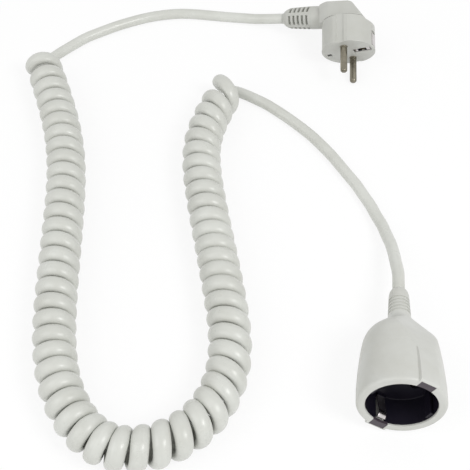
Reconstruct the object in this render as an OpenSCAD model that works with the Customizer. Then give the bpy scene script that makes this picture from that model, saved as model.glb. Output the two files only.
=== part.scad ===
// Curly extension cord: a two-pin plug with side earth contacts, a coiled cord, and a round
// socket with two sprung earth clips. All lengths are in millimetres and all angles in degrees.
// The socket lies at the origin with its mouth towards -Y. The plug lies behind it.

/* [Cord] */
// outer diameter of the round cord
cord_diameter = 7.2; // [6.8:0.1:7.2]
// outer diameter of the curly part
coil_diameter = 25; // [24.6:0.1:25.4]
// radius of one insulated wire inside the cord
wire_radius = 1.15; // [0.9:0.05:1.2]

/* [Contacts] */
// distance between the two pins
pin_spacing = 19; // [18.8:0.1:19.2]
// diameter of a pin
pin_diameter = 4.8; // [4.7:0.05:4.9]
// length of a pin in front of the plug's face
pin_length = 19; // [18:0.5:19.5]
// radial room between a pin and its contact sleeve
pin_room = 0.05; // [0.05:0.01:0.1]
// wall of a contact sleeve
sleeve_wall = 1.05; // [0.8:0.05:1.1]
// length of the round part of a contact sleeve
sleeve_length = 13; // [12:0.5:13]

/* [Socket] */
// radius of the socket body at its widest
socket_radius = 23.8; // [23.6:0.1:24.2]
// radius of the recess that takes the plug
recess_radius = 19; // [18.9:0.05:19.1]
// depth of the recess
recess_depth = 17.5; // [17.3:0.1:17.6]
// wall of the dark insert around the recess
insert_wall = 0.9; // [0.8:0.05:0.95]
// depth of the shell's lip that hides the insert's rim
lip = 1.2; // [1:0.1:1.3]
// thickness of the two tabs that come up through the lip
tab = 2; // [1.8:0.1:2.2]
// turn of the earth clips away from upright
socket_turn = 29.5; // [29:0.5:30]
// slope of the socket's axis as it lies on the floor
socket_tilt = 6; // [5.8:0.1:6.2]
// width of an earth clip
clip_width = 4.8; // [4.4:0.1:5]
// thickness of the sheet metal
sheet = 0.8; // [0.7:0.05:0.85]

/* [Plug] */
// radius of the plug's round face
plug_radius = 18.6; // [18.4:0.1:18.7]
// slope of the plug's pins down to the floor
plug_droop = 23; // [22.8:0.1:23.2]
// turn of the plug about its own axis
plug_turn = 64.6; // [64:0.2:65]
// half the width of the hood on the plug's back
hood_half_width = 13; // [12.8:0.1:13.1]

/* [Clearances] */
// room between a loose inner piece and the wall around it
room = 0.1; // [0.08:0.01:0.14]
// room between the cord and the bores that it passes
cord_room = 0.25; // [0.2:0.05:0.3]

/* [Hidden] */
$fn = 64;

white = [0.80, 0.80, 0.78];
black = [0.06, 0.06, 0.06];
brass = [0.78, 0.62, 0.30];
nickel = [0.75, 0.74, 0.70];

cord_r = cord_diameter / 2;
bore_r = cord_r + cord_room;
pin_r = pin_diameter / 2;
pin_x = pin_spacing / 2;
sleeve_bore = pin_r + pin_room;
sleeve_r = sleeve_bore + sleeve_wall;

// ---- small helpers on points -------------------------------------------------------------
function unit(v) = v / norm(v);
function turn_x(a, p) = [p[0], p[1] * cos(a) - p[2] * sin(a), p[1] * sin(a) + p[2] * cos(a)];
function turn_z(a, p) = [p[0] * cos(a) - p[1] * sin(a), p[0] * sin(a) + p[1] * cos(a), p[2]];

// ---- socket: local z runs out of the mouth, local y through the two earth clips ------------
socket_profile = [
    [socket_radius - 1.6, 0], [socket_radius - 0.7, -0.4], [socket_radius - 0.1, -1.5],
    [socket_radius, -10], [socket_radius - 0.7, -20], [socket_radius - 1.4, -27],
    [socket_radius - 2.3, -34], [20.5, -40], [18.6, -44.5], [14.6, -48.6], [10.6, -52.2],
    [8.3, -55], [6.9, -56.8], [6.6, -58.6]
];
// the flat sides over the clips: pads near the mouth, then a pointed arch to the neck
socket_side = [
    [24.1, 1], [24.1, 0], [24.6, -1.2], [24.3, -10], [23.6, -18], [22.9, -22.5], [22.2, -26],
    [20.1, -31], [15.7, -39.5], [10.4, -47], [7.4, -53.5], [6.7, -58.6], [6.7, -59.6]
];
socket_neck = 58.6;
socket_tip = 79;
pad_half = 6;
pad_length = 24;
function sag(r, z) = r * cos(socket_tilt) - z * sin(socket_tilt);
socket_h = max(concat(
    [for (p = socket_profile) sag(p[0], p[1])],
    [for (p = socket_side) if (-p[1] < pad_length)
        sag(p[0] * cos(socket_turn) + pad_half * sin(socket_turn), p[1])]
)) + 0.02;
socket_back = socket_tip * cos(socket_tilt) + 5.5 * sin(socket_tilt);
socket_front = socket_radius * sin(socket_tilt);
socket_y = -(socket_back - socket_front) / 2;
function socket_point(p) = [0, socket_y, socket_h]
    + turn_x(90 - socket_tilt, turn_z(-socket_turn, p));

tab_half = 4.6;
tab_reach = 23.1;
insert_r = recess_radius + insert_wall;
cavity_r = insert_r + room;
floor_z = -recess_depth;
floor_back = floor_z - 3;
block_r = 17;
block_back = -32.5;
cover_back = -35;
tail_z = -50;
barrel_r = 2.2;
barrel_bore = wire_radius + 0.25;
sleeve_front = floor_back + 1;
sleeve_back = sleeve_front - sleeve_length;
sleeve_web = 0.6;
clip_y = recess_radius - 0.7;
bridge_width = 5;
bridge_z = -21.5;
tunnel_half = bridge_width / 2 + 0.15;

// ---- plug: local z runs along the pins, local -y to the cord -------------------------------
plug_x = -33.5;
plug_y = 240.5;
plug_yaw = 3.8;
arm_slope = 9.6;
arm_b = 27.2;
arm_r = 8.3;
rib_start = 178;
relief_start = 27.3;
relief_end = 49.3;
plug_tail_start = 12;
hood_r = plug_radius - 0.4;
shell_r = plug_radius - 3;
pin_profile = [
    [0, pin_length], [1.2, pin_length - 0.3], [2, pin_length - 1.05], [pin_r, pin_length - 2.1],
    [pin_r, 0.4], [pin_r + 0.3, 0.3]
];
pin_low = pin_x * sin(plug_turn);
function lowness(r, y, z) = (r + y) * cos(plug_droop) + z * sin(plug_droop);
plug_h = max(concat(
    [for (p = pin_profile) lowness(p[0], pin_low, p[1])],
    [lowness(plug_radius, 0, -0.6), lowness(plug_radius - 0.4, 0, 0)]
)) + 0.02;
function plug_point(p) = [plug_x, plug_y, plug_h]
    + turn_z(plug_yaw, turn_x(90 + plug_droop, turn_z(-plug_turn, p)));
// a point of the plug's arm: l along the arm, x across it, u towards the pins
function arm_point(l, x, u) = [
    x, -l * cos(arm_slope) + u * sin(-arm_slope), -arm_b - l * sin(arm_slope) + u * cos(arm_slope)
];

module at_socket() {
    translate([0, socket_y, socket_h]) rotate([90 - socket_tilt, 0, 0]) rotate([0, 0, -socket_turn])
        children();
}

module at_plug() {
    translate([plug_x, plug_y, plug_h]) rotate([90 + plug_droop, 0, plug_yaw])
        rotate([0, 0, -plug_turn]) children();
}

// the arm's own frame: z runs out along the arm, starting on the plug's axis
module at_arm() {
    translate([0, 0, -arm_b]) rotate([90 + arm_slope, 0, 0]) children();
}

// ---- swept tubes ---------------------------------------------------------------------------
// corners of one ring round point p, square to direction t; the first corner lies towards up
function ring(p, t, up, r, n) =
    let (s = unit(cross(t, up)), u = cross(s, t))
    [for (k = [0:n - 1]) p + r * (cos(360 * k / n) * u + sin(360 * k / n) * s)];

// direction of a route at point i; first and last directions are given
function heading(route, i, first, last) =
    i == 0 ? unit(first)
    : i == len(route) - 1 ? unit(last)
    : unit(unit(route[i + 1] - route[i]) + unit(route[i] - route[i - 1]));

// closed tube through rings of n corners each
module tube(rings, n) {
    m = len(rings);
    points = [for (r = rings) for (p = r) p];
    sides = [
        for (i = [0:m - 2]) for (k = [0:n - 1])
        let (a = i * n + k, b = i * n + (k + 1) % n)
        each [[a, b, b + n], [a, b + n, a + n]]
    ];
    first_cap = [for (k = [n - 1:-1:0]) k];
    last_cap = [for (k = [0:n - 1]) (m - 1) * n + k];
    polyhedron(points = points, faces = concat(sides, [first_cap, last_cap]));
}

// a round wire or cord along a route; up is never along the route
module swept(route, first, last, up, r, n) {
    tube([
        for (i = [0:len(route) - 1])
        ring(route[i], heading(route, i, first, last), up, r, n)
    ], n);
}

// ---- curly cord: its axis is a smooth spline past hand-chosen points, one for four curls ------
curls = 56;
steps = 8;
coil_r = coil_diameter / 2 - cord_r;
coil_h = coil_diameter / 2 + 0.05;
coil_route = [
    [-244.5, 214], [-224.5, 170.5], [-210, 128.5], [-203.5, 84], [-198.5, 40.5], [-193, -3.5],
    [-182, -43.5], [-151, -78], [-103.5, -59], [-88.5, -16], [-99, 30.5], [-109, 68],
    [-120.5, 110.5], [-129, 153.5], [-114.3, 199.8]
];
// lean of the curls out of square to the axis, in degrees
coil_lean = [14, 3, 0, 0, 0, 6, 20, 8, -8, -10, -3, 0, 0, -6, -17];
// how much the first and last curl close up, in mm per curl squared
close_first = 7;
close_last = 9;

last_row = len(coil_route) - 1;
function widen(a) = concat([2 * a[0] - a[1]], a, [2 * a[last_row] - a[last_row - 1]]);
route_wide = widen(coil_route);
lean_wide = widen(coil_lean);
function cell(t) = min(floor(t / 4), last_row - 1);
// uniform cubic spline: value and slope in cell i at fraction f
function blend(a, i, f) = (
    (1 - f) ^ 3 * a[i] + (3 * f ^ 3 - 6 * f ^ 2 + 4) * a[i + 1]
    + (-3 * f ^ 3 + 3 * f ^ 2 + 3 * f + 1) * a[i + 2] + f ^ 3 * a[i + 3]
) / 6;
function slope(a, i, f) = (
    -(1 - f) ^ 2 * a[i] + (3 * f ^ 2 - 4 * f) * a[i + 1]
    + (-3 * f ^ 2 + 2 * f + 1) * a[i + 2] + f ^ 2 * a[i + 3]
) / 2;
// axis direction, axis point and outward direction of the curl at t, counted in curls
function axis_way(t) = unit(slope(route_wide, cell(t), t / 4 - cell(t)));
function axis_at(t) = blend(route_wide, cell(t), t / 4 - cell(t))
    + axis_way(t) * (close_last * max(0, t - curls + 1) ^ 2 - close_first * max(0, 1 - t) ^ 2);
function outward(t) =
    let (
        w = axis_way(t),
        lean = blend(lean_wide, cell(t), t / 4 - cell(t)),
        side = turn_z(lean, [w[1], -w[0], 0]),
        a = 270 + 360 * t
    )
    [cos(a) * side[0], cos(a) * side[1], sin(a)];
function coil_point(t) = [axis_at(t)[0], axis_at(t)[1], coil_h] + coil_r * outward(t);
function coil_way(t) = unit(coil_point(min(t + 0.01, curls)) - coil_point(max(t - 0.01, 0)));

first_way = coil_way(0);
last_way = coil_way(curls);
flat_first = unit([first_way[0], first_way[1], 0]);
flat_last = unit([last_way[0], last_way[1], 0]);
coil_start = coil_point(0) - flat_first * (cord_diameter + 1);
exit_points = [[-108.5, 208.6, 3.65], [-104.5, 206.9, 3.65]];
exit_way = unit([0.92, -0.4, 0]);
coil_end = exit_points[1] + exit_way * (cord_diameter + 0.5);
coil_centres = concat(
    [coil_start],
    [for (i = [0:curls * steps]) coil_point(i / steps)],
    exit_points,
    [coil_end]
);
coil_rings = concat(
    [ring(coil_start, flat_first, [0, 0, 1], cord_r, 6)],
    [for (i = [0:curls * steps]) let (t = i / steps)
        ring(coil_point(t), i == 0 ? flat_first : i == curls * steps ? flat_last : coil_way(t),
            -outward(t), cord_r, 6)],
    [ring(exit_points[0], unit(flat_last + exit_way), [0, 0, 1], cord_r, 6)],
    [ring(exit_points[1], exit_way, [0, 0, 1], cord_r, 6)],
    [ring(coil_end, exit_way, [0, 0, 1], cord_r, 6)]
);

// least gap between one curl and the next, on ring centres and on the middles between them
gap_points = [
    for (i = [0:len(coil_centres) - 2])
    each [coil_centres[i], (coil_centres[i] + coil_centres[i + 1]) / 2]
];
gap_count = len(gap_points);
least_gap = min([
    for (i = [0:gap_count - 1])
    for (j = [i + steps:i + 3 * steps])
    if (j < gap_count) norm(gap_points[i] - gap_points[j])
]) - cord_diameter;

// ---- leads: hand-chosen points on the floor between the coil and the two ends -----------------
plug_lead_points = [
    [-240.2, 232.6, 3.65], [-234.5, 239.6, 3.65], [-223.2, 252.3, 3.65], [-213.5, 260, 3.65],
    [-203, 267.5, 3.65], [-192, 274, 3.65], [-181, 279.5, 3.65], [-169.5, 283.5, 3.65],
    [-158, 286, 3.65], [-146, 286.5, 3.65], [-134, 286, 3.65], [-122, 285.5, 3.7],
    [-110, 284.9, 4], [-101.5, 283.6, 5.1], [-92, 281.3, 7.8]
];
coupler_lead_points = [
    [-86.5, 197, 3.65], [-74.5, 188, 3.65], [-64.5, 179.5, 3.65],
    [-55.5, 171, 3.65], [-48, 162.5, 3.65], [-41.5, 154.5, 3.65], [-35.5, 146, 3.65],
    [-30, 138, 3.65], [-24.5, 130, 3.65], [-20, 122, 3.65], [-15.5, 114, 3.8],
    [-12, 106, 4.1], [-8.5, 98, 5.1], [-6, 89.5, 6.7], [-3.5, 80.5, 8.8], [-2, 71.5, 11.2],
    [-1, 62.5, 13.6], [0, 54, 15.4], [0, 46.5, 16.3]
];
plug_exit = plug_point(arm_point(relief_end, 0, 0));
plug_exit_way = unit(plug_exit - plug_point(arm_point(relief_end - 10, 0, 0)));
socket_exit = socket_point([0, 0, -socket_tip]);
socket_exit_way = unit(socket_exit - socket_point([0, 0, 0]));

function route_length(a) = len(a) < 2 ? 0 : sum([for (i = [1:len(a) - 1]) norm(a[i] - a[i - 1])]);
function sum(v) = [for (i = 0, s = v[0]; i < len(v); i = i + 1, s = s + (i < len(v) ? v[i] : 0)) s]
    [len(v) - 1];

echo(least_gap = least_gap);
echo(plug_h = plug_h, socket_h = socket_h, socket_y = socket_y);
echo(coil_start = coil_start, coil_end = coil_end, first_way = first_way, last_way = last_way);
echo(plug_exit = plug_exit, plug_exit_way = plug_exit_way);
echo(socket_exit = socket_exit, socket_exit_way = socket_exit_way);
echo(coil_length = route_length(coil_centres));
echo(lead_lengths = [
    route_length(concat([coil_start], plug_lead_points, [plug_exit])),
    route_length(concat([coil_end], coupler_lead_points, [socket_exit]))
]);

// ============================ socket ==========================================================

// outer skin of the socket, before its hollow is cut
module socket_skin() {
    intersection() {
        union() {
            rotate_extrude() polygon(concat([[0, 0]], socket_profile, [[0, -socket_neck]]));
            // a raised pad over each earth clip
            translate([-pad_half, -30, -pad_length]) cube([2 * pad_half, 60, pad_length - 0.3]);
        }
        rotate([90, 0, 90]) linear_extrude(3 * socket_radius, center = true)
            polygon(concat(socket_side, [
                for (i = [len(socket_side) - 1:-1:0]) [-socket_side[i][0], socket_side[i][1]]
            ]));
    }
}

module coupler_body() {
    color(white) at_socket() difference() {
        socket_skin();
        // mouth, hollow for the insert, then for the contacts' tails, then for the cord
        translate([0, 0, -lip - 1]) cylinder(h = 20, r = recess_radius + 0.05);
        translate([0, 0, floor_back]) cylinder(h = -floor_back - lip, r = cavity_r);
        translate([0, 0, -37]) cylinder(h = 30, r = block_r + 0.2);
        translate([0, 0, tail_z]) cylinder(h = 13.01, r1 = 4.2, r2 = 16);
        translate([0, 0, -60]) cylinder(h = 20, r = bore_r);
        // notches for the insert's two tabs
        for (s = [-1, 1]) translate([-tab_half - room, s * (tab_reach + room - 3) - 3, -tab - room])
            cube([2 * (tab_half + room), 6, 5]);
        // room for the ends of the earth bridge
        translate([-bridge_width / 2 - 0.5, -clip_y - 1.2, bridge_z - 1.9])
            cube([bridge_width + 1, 2 * clip_y + 2.4, 3.5]);
    }
}

module coupler_strain_relief() {
    // five ring slots let the sleeve bend
    slots = [60.8, 63.2, 65.6, 68, 70.4];
    color(white) at_socket() difference() {
        rotate_extrude() polygon([
            [bore_r, -socket_neck], [6.6, -socket_neck], [5.6, -74.5], [5.2, -76.4],
            [4.6, -77.9], [bore_r, -socket_tip]
        ]);
        for (s = slots) translate([0, 0, -s - 0.6]) difference() {
            cylinder(h = 1.2, r = 9);
            translate([0, 0, -1]) cylinder(h = 4, r = 5.1);
        }
    }
}

module coupler_insert() {
    color(black) at_socket() difference() {
        union() {
            translate([0, 0, floor_back]) cylinder(h = -floor_back - lip - room, r = insert_r);
            translate([0, 0, block_back]) cylinder(h = floor_back - block_back + 0.1, r = block_r);
            // two tabs keep the insert from turning
            translate([-tab_half, -tab_reach, -tab]) cube([2 * tab_half, 2 * tab_reach, tab - 0.1]);
        }
        // the recess, with two guide ribs left standing in it
        difference() {
            translate([0, 0, floor_z]) cylinder(h = 40, r = recess_radius);
            for (s = [-1, 1]) translate([s * recess_radius - 2, -2.5, floor_z - 1])
                cube([4, 5, recess_depth - 0.5]);
        }
        for (s = [-1, 1]) {
            // way in for a pin, then the pocket of its sleeve
            translate([s * pin_x, 0, floor_z - 3]) cylinder(h = 5, r = pin_r + 0.5);
            translate([s * pin_x, 0, block_back - 1])
                cylinder(h = sleeve_front - block_back + 1, r = sleeve_r + room);
            // channel for an earth clip and the slot that it stands in
            translate([-clip_width / 2 - 0.4, s * (clip_y + 0.6) - 1.3, floor_z])
                cube([clip_width + 0.8, 2.6, recess_depth - tab + 0.4]);
            translate([-tunnel_half, s * clip_y - 1.1, floor_back - 1]) cube([2 * tunnel_half, 2.2, 5]);
        }
        // tunnel for the earth bridge and bore for its crimp
        translate([-tunnel_half, -clip_y - 2.4, bridge_z - 1.2])
            cube([2 * tunnel_half, 2 * clip_y + 4.8, 2.2]);
        translate([0, 0, block_back - 1]) cylinder(h = bridge_z + 0.5 - block_back, r = barrel_r);
    }
}

module coupler_insert_back() {
    color(black) at_socket() difference() {
        translate([0, 0, cover_back]) cylinder(h = block_back - cover_back, r = block_r);
        for (s = [-1, 1]) translate([s * pin_x, 0, cover_back - 1]) cylinder(h = 5, r = barrel_r + room);
        translate([0, 0, cover_back - 1]) cylinder(h = 5, r = wire_radius + 0.3);
    }
}

module contact_sleeve(s) {
    color(brass) at_socket() translate([s * pin_x, 0, 0]) difference() {
        union() {
            translate([0, 0, sleeve_back]) cylinder(h = sleeve_length, r = sleeve_r);
            translate([0, 0, sleeve_back - 6]) cylinder(h = 7, r = barrel_r);
        }
        translate([0, 0, sleeve_back + sleeve_web]) cylinder(h = 30, r = sleeve_bore);
        translate([0, 0, sleeve_back - 10]) cylinder(h = 10, r = barrel_bore);
        // slit that lets the sleeve spring open
        translate([-0.5, 0, sleeve_back + 1.5]) cube([1, 6, 30]);
    }
}

module line_contact_sleeve() {
    contact_sleeve(1);
}

module neutral_contact_sleeve() {
    contact_sleeve(-1);
}

// bent strip of an earth clip, as (y, z) along its middle from root to tip
clip_line = [
    [clip_y, floor_z - 0.1], [clip_y, -15], [clip_y - 0.05, -13], [clip_y - 0.4, -11.3],
    [clip_y - 1, -9.6], [clip_y - 1.45, -8], [clip_y - 1.65, -6.6], [clip_y - 1.6, -5.4],
    [clip_y - 1.25, -4.2], [clip_y - 0.7, -3.1], [clip_y - 0.2, -2.5]
];
function offset_point(a, i, d) =
    let (
        w = unit(i == 0 ? a[1] - a[0] : i == len(a) - 1 ? a[i] - a[i - 1] : a[i + 1] - a[i - 1])
    )
    a[i] + d * [w[1], -w[0]];

module earth_clip(s) {
    last = len(clip_line) - 1;
    color(nickel) at_socket() rotate([0, 0, s > 0 ? 0 : 180]) rotate([90, 0, 90])
        linear_extrude(clip_width, center = true) polygon(concat(
            [for (i = [0:last]) offset_point(clip_line, i, sheet / 2)],
            [for (i = [last:-1:0]) offset_point(clip_line, i, -sheet / 2)]
        ));
}

module earth_clip_upper() {
    earth_clip(1);
}

module earth_clip_lower() {
    earth_clip(-1);
}

module earth_bridge() {
    z = bridge_z;
    outer = clip_y + sheet / 2;
    inner = clip_y - sheet / 2;
    color(nickel) at_socket() difference() {
        union() {
            rotate([90, 0, 90]) linear_extrude(bridge_width, center = true) polygon([
                [-outer, z - sheet], [outer, z - sheet], [outer, floor_z - 0.4],
                [inner, floor_z - 0.4], [inner, z], [-inner, z], [-inner, floor_z - 0.4],
                [-outer, floor_z - 0.4]
            ]);
            translate([0, 0, -30]) cylinder(h = 30 + z - sheet + 0.2, r = barrel_r - room);
        }
        translate([0, 0, -31]) cylinder(h = 12, r = barrel_bore);
    }
}

module coupler_cord_tail() {
    color(white) at_socket() translate([0, 0, -socket_tip])
        cylinder(h = socket_tip + tail_z, r = cord_r);
}

// wire from a crimp barrel to the cord's tail, s chooses the side
module socket_wire(s) {
    at_socket() swept([
        [s * pin_x, 0, sleeve_back - 1.5], [s * pin_x, 0, sleeve_back - 7],
        [s * (pin_x - 0.8), 0, -42], [s * 6.2, 0, -44.6], [s * 3.4, 0, -47.2],
        [s * 1.8, 0, -48.8], [s * 1.6, 0, tail_z]
    ], [0, 0, -1], [0, 0, -1], [0, 1, 0], wire_radius, 8);
}

module coupler_line_wire() {
    color([0.35, 0.20, 0.10]) socket_wire(1);
}

module coupler_neutral_wire() {
    color([0.10, 0.25, 0.65]) socket_wire(-1);
}

module coupler_earth_wire() {
    color([0.35, 0.65, 0.15]) at_socket() swept([
        [0, 0, -24.5], [0, 0, -36], [0, -0.6, -40], [0, -1.7, -45], [0, -2, -48], [0, -2, tail_z]
    ], [0, 0, -1], [0, 0, -1], [1, 0, 0], wire_radius, 8);
}

// ============================ cord ============================================================

module coupler_lead() {
    color(white) swept(concat([coil_end], coupler_lead_points, [socket_exit]),
        exit_way, -socket_exit_way, [0, 0, 1], cord_r, 10);
}

module curly_cord() {
    color(white) tube(coil_rings, 6);
}

module plug_lead() {
    color(white) swept(concat([coil_start], plug_lead_points, [plug_exit]),
        -flat_first, -plug_exit_way, [0, 0, 1], cord_r, 10);
}

// ============================ plug ============================================================

// the plug is drawn with b, the distance behind its face, as (y, -b)
module side_view(points, width) {
    rotate([90, 0, 90]) linear_extrude(width, center = true) polygon(points);
}

module plug_shell_cavity(grow) {
    intersection() {
        translate([0, 0, -30]) cylinder(h = 27, r = shell_r + grow);
        translate([-12.9 - grow, -20, -40]) cube([25.8 + 2 * grow, 40, 50]);
    }
}

module plug_body() {
    color(white) at_plug() difference() {
        intersection() {
            rotate_extrude() polygon([
                [0, 0], [plug_radius - 0.4, 0], [plug_radius, -0.6], [plug_radius, -23.5], [0, -23.5]
            ]);
            side_view([
                [-20, 1], [-20, -22.7], [14.1, -20.7], [14.5, -20.2], [16, -18.2], [20, -16.7], [20, 1]
            ], 60);
        }
        plug_shell_cavity(0);
        for (s = [-1, 1]) {
            // hole for a pin and grooves that guide the plug into the recess
            translate([s * pin_x, 0, -5]) cylinder(h = 10, r = pin_r + 0.35);
            translate([s * (plug_radius + 4) - 5, -5.4, -30]) cube([10, 10.8, 40]);
            translate([s * (plug_radius + 3.3) - 5, -2.8, -30]) cube([10, 5.6, 40]);
            // pocket for an earth strip and its way inside
            translate([-3.2, s * 19.1 - 2, -12]) cube([6.4, 4, 11]);
            translate([-3.2, s * 16 - 2, -10.2]) cube([6.4, 4, 1.3]);
        }
        // way in for an earth pin
        translate([0, 10, -1.5]) cylinder(h = 3, r = 2.7);
        translate([0, 10, -5]) cylinder(h = 4, r = 3.2);
    }
}

module plug_hood() {
    h = hood_half_width;
    color(white) at_plug() difference() {
        union() {
            intersection() {
                translate([0, 0, -40]) cylinder(h = 30, r = hood_r);
                translate([0, 0, -40]) linear_extrude(30) polygon([
                    [-h, 20], [h, 20], [h, -10.5], [h - 1, -14], [h - 3, -18], [3 - h, -18],
                    [1 - h, -14], [-h, -10.5]
                ]);
                side_view([
                    [-18, -21.7], [-18, -35.2], [4, -32.7], [7, -31.4], [13.9, -20.9], [13.9, -19.7]
                ], 2 * h);
            }
            at_arm() translate([0, 0, 8]) cylinder(h = relief_start - 8, r = arm_r);
        }
        // the hood stands on the body
        intersection() {
            translate([0, 0, -30]) cylinder(h = 30, r = plug_radius + 0.1);
            side_view([[-20, 5], [-20, -22.7], [14.1, -20.7], [20, -20.4], [20, 5]], 60);
        }
        // hollow for the wires and bore for the cord
        side_view([
            [-14, -15], [-14, -30.2], [3, -30.2], [5, -29.2], [10.8, -20.7], [10.8, -15]
        ], 2 * h - 4.4);
        at_arm() translate([0, 0, plug_tail_start - 0.5]) cylinder(h = 60, r = bore_r);
    }
}

module plug_bridge() {
    color(black) at_plug() difference() {
        intersection() {
            plug_shell_cavity(-room);
            translate([-20, -20, -9]) cube([40, 40, 5.9]);
        }
        for (s = [-1, 1]) {
            translate([s * pin_x, 0, -10]) cylinder(h = 10, r = 2.1);
            translate([s * pin_x, 0, -4.7]) cylinder(h = 5, r = 3.5);
        }
        translate([0, 10, -10]) cylinder(h = 10, r = 3.2);
    }
}

module plug_pin(s) {
    color(nickel) at_plug() translate([s * pin_x, 0, 0]) difference() {
        rotate_extrude() polygon(concat(pin_profile, [
            [pin_r + 0.3, -3.2], [3.4, -3.2], [3.4, -4.6], [2, -4.6], [2, -15], [0, -15]
        ]));
        translate([0, 0, -16]) cylinder(h = 6, r = barrel_bore);
    }
}

module line_pin() {
    plug_pin(1);
}

module neutral_pin() {
    plug_pin(-1);
}

module plug_earth_strip() {
    y = 18.4;
    color(nickel) at_plug() difference() {
        union() {
            side_view([
                [-y, -1.3], [-y, -9.1 - sheet], [y, -9.1 - sheet], [y, -1.3], [y - sheet, -1.3],
                [y - sheet, -9.1], [-y + sheet, -9.1], [-y + sheet, -1.3]
            ], 6);
            translate([0, 10, -9.1 - sheet]) cylinder(h = sheet, r = 5);
            translate([0, -6, -15]) cylinder(h = 6 - 0.1, r = barrel_r - room);
        }
        translate([0, 10, -12]) cylinder(h = 6, r = 3.2);
        translate([0, -6, -16]) cylinder(h = 6, r = barrel_bore);
    }
}

module plug_earth_socket() {
    color(brass) at_plug() translate([0, 10, 0]) difference() {
        translate([0, 0, -16]) cylinder(h = 14.4, r = 3.1);
        translate([0, 0, -15]) cylinder(h = 20, r = 2.5);
    }
}

module plug_strain_relief() {
    // five slots round the sleeve, each broken by five ribs that run along it
    slots = [28.9, 32.3, 35.7, 39.1, 42.5];
    color(white) at_plug() at_arm() difference() {
        rotate_extrude() polygon([
            [bore_r, relief_start], [arm_r, relief_start], [8, 35.4], [7.5, 43.4], [6.8, 45.8],
            [5.6, 48], [4.4, 49.1], [bore_r, relief_end]
        ]);
        for (l = slots) translate([0, 0, l - 0.8]) difference() {
            cylinder(h = 1.6, r = 12);
            translate([0, 0, -1]) cylinder(h = 4, r = 5.4);
            for (k = [0:4]) rotate([0, 0, rib_start + 72 * k]) translate([0, -1.4, -1]) cube([14, 2.8, 4]);
        }
    }
}

module plug_cord_tail() {
    color(white) at_plug() at_arm() translate([0, 0, plug_tail_start])
        cylinder(h = relief_end - plug_tail_start, r = cord_r);
}

// wire from a pin's crimp to the cord's tail, s chooses the side
module plug_wire(s) {
    end = arm_point(plug_tail_start, s * 1.6, 0);
    at_plug() swept([
        [s * pin_x, 0, -11], [s * pin_x, 0, -16.5], [s * 9.2, -0.6, -19], [s * 8, -2.2, -21.9],
        [s * 5.8, -4.8, -24.9], [s * 3.4, -7.6, -27.4], end
    ], [0, 0, -1], arm_point(1, 0, 0) - arm_point(0, 0, 0), [1, 0, 0], wire_radius, 8);
}

module plug_line_wire() {
    color([0.35, 0.20, 0.10]) plug_wire(1);
}

module plug_neutral_wire() {
    color([0.10, 0.25, 0.65]) plug_wire(-1);
}

module plug_earth_wire() {
    end = arm_point(plug_tail_start, 0, 1.9);
    color([0.35, 0.65, 0.15]) at_plug() swept([
        [0, -6, -11], [0, -6, -18], [0, -6.3, -21.2], [0, -7.6, -24.1], [0, -9.6, -26.3], end
    ], [0, 0, -1], arm_point(1, 0, 0) - arm_point(0, 0, 0), [1, 0, 0], wire_radius, 8);
}

coupler_body();
coupler_strain_relief();
coupler_insert();
coupler_insert_back();
line_contact_sleeve();
neutral_contact_sleeve();
earth_clip_upper();
earth_clip_lower();
earth_bridge();
coupler_cord_tail();
coupler_line_wire();
coupler_neutral_wire();
coupler_earth_wire();
coupler_lead();
curly_cord();
plug_lead();
plug_body();
plug_hood();
plug_bridge();
line_pin();
neutral_pin();
plug_earth_strip();
plug_earth_socket();
plug_strain_relief();
plug_cord_tail();
plug_line_wire();
plug_neutral_wire();
plug_earth_wire();
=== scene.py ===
# %% [markdown]
# A curly extension cord. A moulded plug with two pins lies at the back, a coiled cord runs forward,
# turns round and comes back, and a round socket lies in front on the right. The CAD solids give every
# place and size. This lesson puts smooth surfaces, finishes and light on them. Each surface is worked
# out with numpy as a grid of points, because a moulded or coiled shape is easier to say as a formula
# than to push into place by hand.

import bmesh
import bpy
import numpy as np
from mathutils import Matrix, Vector


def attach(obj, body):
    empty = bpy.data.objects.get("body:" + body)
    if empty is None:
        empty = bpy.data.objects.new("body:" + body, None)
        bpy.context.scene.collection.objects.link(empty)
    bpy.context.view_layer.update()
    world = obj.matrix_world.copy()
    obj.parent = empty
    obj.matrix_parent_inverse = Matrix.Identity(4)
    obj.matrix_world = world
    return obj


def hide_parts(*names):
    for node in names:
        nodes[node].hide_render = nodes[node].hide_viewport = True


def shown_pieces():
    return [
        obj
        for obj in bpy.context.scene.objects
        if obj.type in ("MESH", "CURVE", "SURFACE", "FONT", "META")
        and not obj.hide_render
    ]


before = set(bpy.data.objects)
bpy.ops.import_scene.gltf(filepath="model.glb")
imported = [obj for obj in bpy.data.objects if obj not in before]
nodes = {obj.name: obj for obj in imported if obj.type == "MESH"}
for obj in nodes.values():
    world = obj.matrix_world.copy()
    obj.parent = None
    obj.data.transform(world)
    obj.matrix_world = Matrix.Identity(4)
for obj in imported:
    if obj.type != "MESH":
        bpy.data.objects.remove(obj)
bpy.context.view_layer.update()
ROOT = "socket_and_cord"
MM = 0.001

# %% [markdown]
# The camera stands in front of the bend of the coil and looks down on the floor at about fifty
# degrees. It is set first, because the cord is measured against what the camera sees.

# %% Camera
FOCAL_PIXELS = 1016.0
FRAME_PIXELS = 470.0
SENSOR = 36.0
camera_data = bpy.data.cameras.new("camera")
camera = bpy.data.objects.new("camera", camera_data)
bpy.context.scene.collection.objects.link(camera)
camera.location = (-0.06266, -0.29999, 0.49565)
camera.rotation_euler = (np.radians(38.0), 0, np.radians(5.3))
camera_data.sensor_width = SENSOR
camera_data.lens = SENSOR * FOCAL_PIXELS / FRAME_PIXELS
camera_data.clip_start = 0.01
bpy.context.scene.camera = camera
bpy.context.scene.view_settings.view_transform = "Standard"
print("camera lens", round(camera_data.lens, 2), "mm")

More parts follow.
